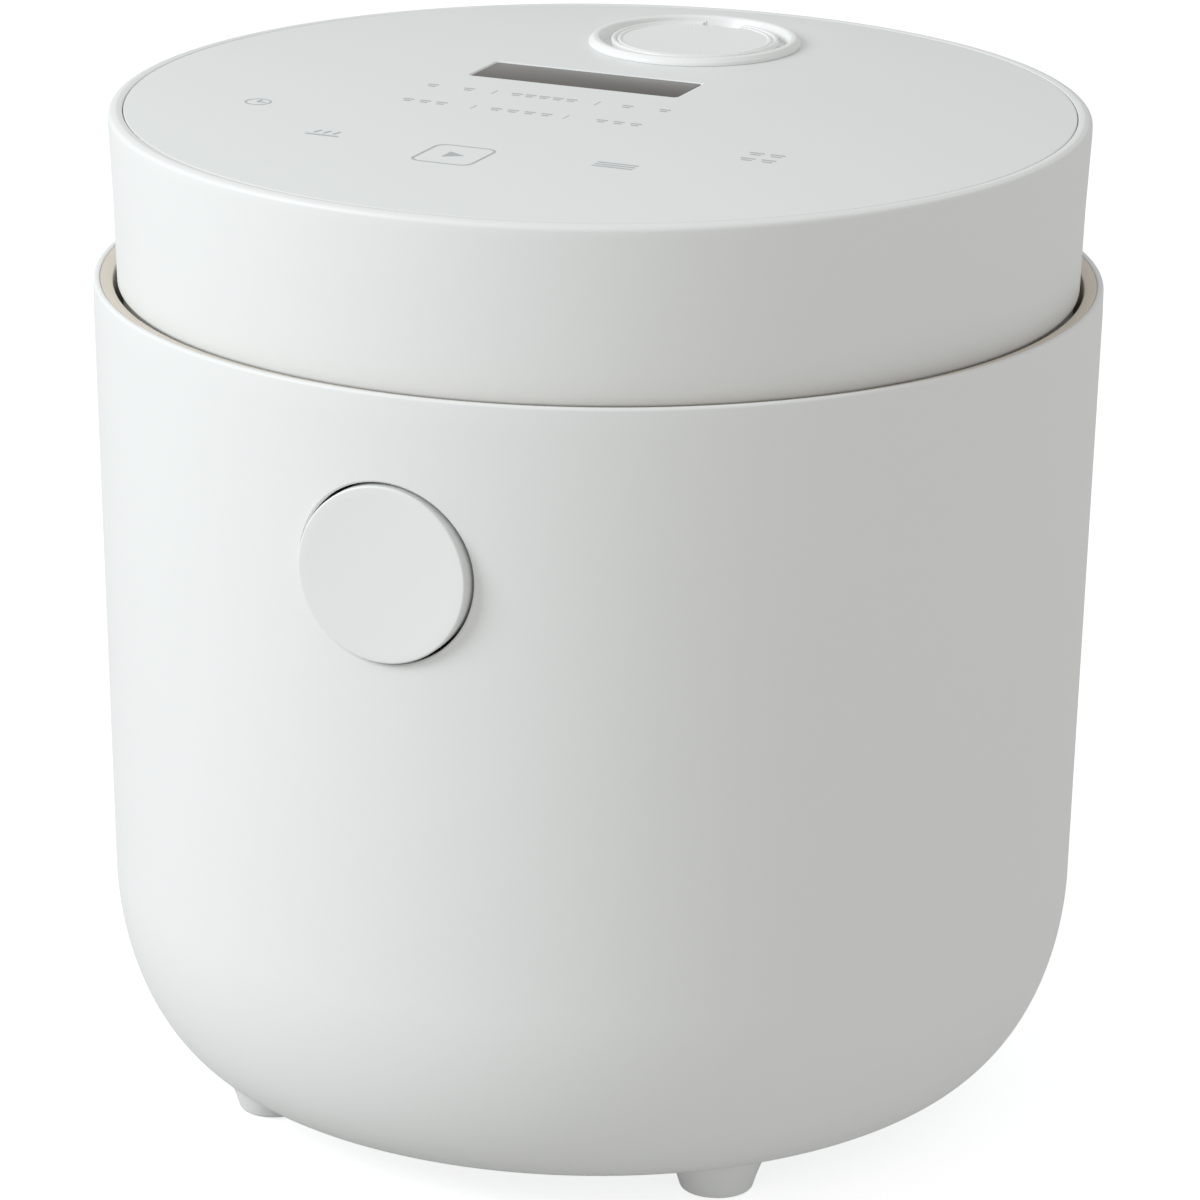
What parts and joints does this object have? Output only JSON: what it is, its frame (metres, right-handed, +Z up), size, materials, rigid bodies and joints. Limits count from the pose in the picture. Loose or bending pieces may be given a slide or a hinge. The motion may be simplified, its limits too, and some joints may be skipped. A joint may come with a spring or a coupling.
{
  "type": "rice cooker",
  "caption": "Round white rice cooker: hinged drop-in lid with touch panel and steam cap, round release button, rounded bottom on small feet, cooking pot inside.",
  "frame": {"origin": "centre of the footprint's bounding box, on the surface the feet stand on", "axes": "+Z up, the front with the button faces -Y, the hinge housing faces +Y, +X is to the right seen from the front"},
  "size_m": [0.216, 0.2422, 0.2207],
  "materials": {
    "shell_white": "fine satin texture, warm white",
    "collar_cream": "smooth heat-resistant plastic, pale cream",
    "panel_white": "smooth, faintly satin touch surface",
    "smoked_window": "smoked clear plastic over a dark display",
    "silicone_grey": "soft translucent grey silicone",
    "non_stick": "dark speckled non-stick coating",
    "aluminium": "plain spun aluminium",
    "steel": "zinc-plated steel",
    "brass_pin": "bright brass contact",
    "circuit_board": "green solder mask",
    "dark_plastic": "charcoal moulded plastic"
  },
  "bodies": {
    "body": {"base_plate": "shell_white", "base_screw_1": "steel", "base_screw_2": "steel", "base_screw_3": "steel", "button_guide": "dark_plastic", "button_spring": "steel", "capacitor": "steel", "chassis": "dark_plastic", "foot_back_left": "shell_white", "foot_back_right": "shell_white", "foot_front_left": "shell_white", "foot_front_right": "shell_white", "heat_chamber": "steel", "heater_element": "steel", "heating_plate": "aluminium", "hinge_pin": "steel", "inlet_pin_left": "brass_pin", "inlet_pin_right": "brass_pin", "inlet_socket": "dark_plastic", "inner_pot": "non_stick", "latch_bracket": "steel", "latch_pin": "steel", "outer_shell": "shell_white", "pad_back_left": "silicone_grey", "pad_back_right": "silicone_grey", "pad_front_left": "silicone_grey", "pad_front_right": "silicone_grey", "power_board": "circuit_board", "rear_housing": "shell_white", "relay": "dark_plastic", "rim_collar": "collar_cream", "sensor_bracket": "steel", "sensor_spring": "steel", "thermal_fuse": "dark_plastic", "transformer": "dark_plastic"},
    "lid": {"lid_shell": "shell_white", "touch_panel": "panel_white", "display_window": "smoked_window", "display_module": "dark_plastic", "control_board": "circuit_board", "lid_liner": "collar_cream", "striker": "steel", "inner_lid": "aluminium", "pot_gasket": "silicone_grey", "lid_knob": "silicone_grey", "steam_port": "collar_cream", "hinge_arm": "shell_white", "hinge_screw_1": "steel", "hinge_screw_2": "steel"},
    "steam_cap": {"steam_cap_ring": "shell_white", "steam_cap_disc": "panel_white", "steam_cap_seal": "silicone_grey"},
    "button": {"release_button": "shell_white"},
    "latch": {"latch_hook": "dark_plastic"},
    "sensor": {"sensor_cup": "aluminium"}
  },
  "joints": [
    {"name": "lid_hinge", "type": "hinge", "parent": "body", "child": "lid", "pos_m": [0, 0.102, 0.191], "axis": [-1, 0, 0], "range_deg": [0, 92]},
    {"name": "steam_cap_lift", "type": "slide", "parent": "lid", "child": "steam_cap", "axis": [0, 0, 1], "range_m": [0, 0.03]},
    {"name": "button_press", "type": "slide", "parent": "body", "child": "button", "axis": [0, 1, 0], "range_m": [0, 0.0025], "stiffness_N_per_m": 400, "springref_m": -0.004, "deforming": ["button_spring"]},
    {"name": "latch_swing", "type": "hinge", "parent": "body", "child": "latch", "pos_m": [0, -0.1055, 0.088], "axis": [-1, 0, 0], "range_deg": [0, 2.6]},
    {"name": "sensor_travel", "type": "slide", "parent": "body", "child": "sensor", "axis": [0, 0, -1], "range_m": [0, 0.003], "stiffness_N_per_m": 300, "springref_m": -0.004, "deforming": ["sensor_spring"]}
  ],
  "couplings": [
    {"joint": "latch_swing", "follows": "button_press", "rad_per_m": 17.54}
  ]
}
